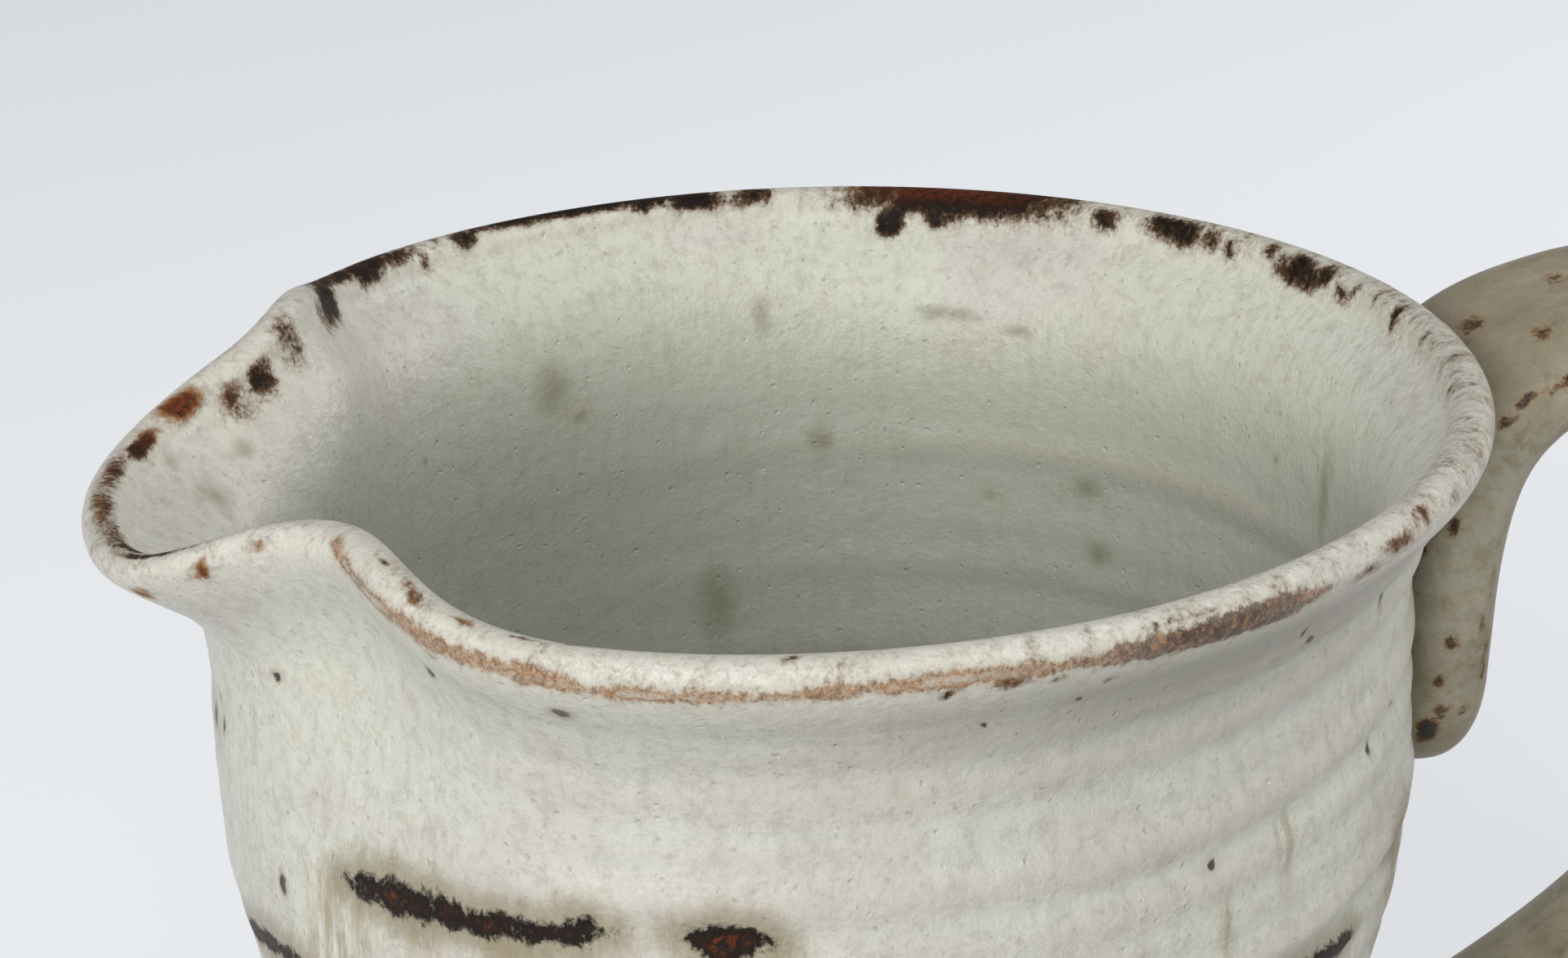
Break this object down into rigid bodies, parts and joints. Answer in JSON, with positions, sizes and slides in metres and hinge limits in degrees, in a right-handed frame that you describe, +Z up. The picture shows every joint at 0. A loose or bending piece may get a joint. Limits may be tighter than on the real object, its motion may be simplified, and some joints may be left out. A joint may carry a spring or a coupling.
{
  "type": "gravy boat",
  "caption": "Round wheel-thrown stoneware sauce jug with a pinched pouring lip, a pulled strap handle opposite it and a turned foot ring.",
  "frame": {"origin": "centre of the foot ring, on the surface the jug stands on", "axes": "+Z up, +X along the handle, -X along the pouring lip, +Y to the right of a person who looks from the handle to the lip"},
  "size_m": [0.1752, 0.125, 0.105],
  "materials": {
    "glaze": "satin off-white glaze, iron-brown where it breaks at the rim",
    "handle_glaze": "satin cream glaze, thin and brown along its edges",
    "slip": "matt fired clay"
  },
  "bodies": {
    "root": {"thrown_body": "glaze", "pulled_handle": "handle_glaze", "upper_slip_joint": "slip", "lower_slip_joint": "slip"}
  },
  "joints": []
}
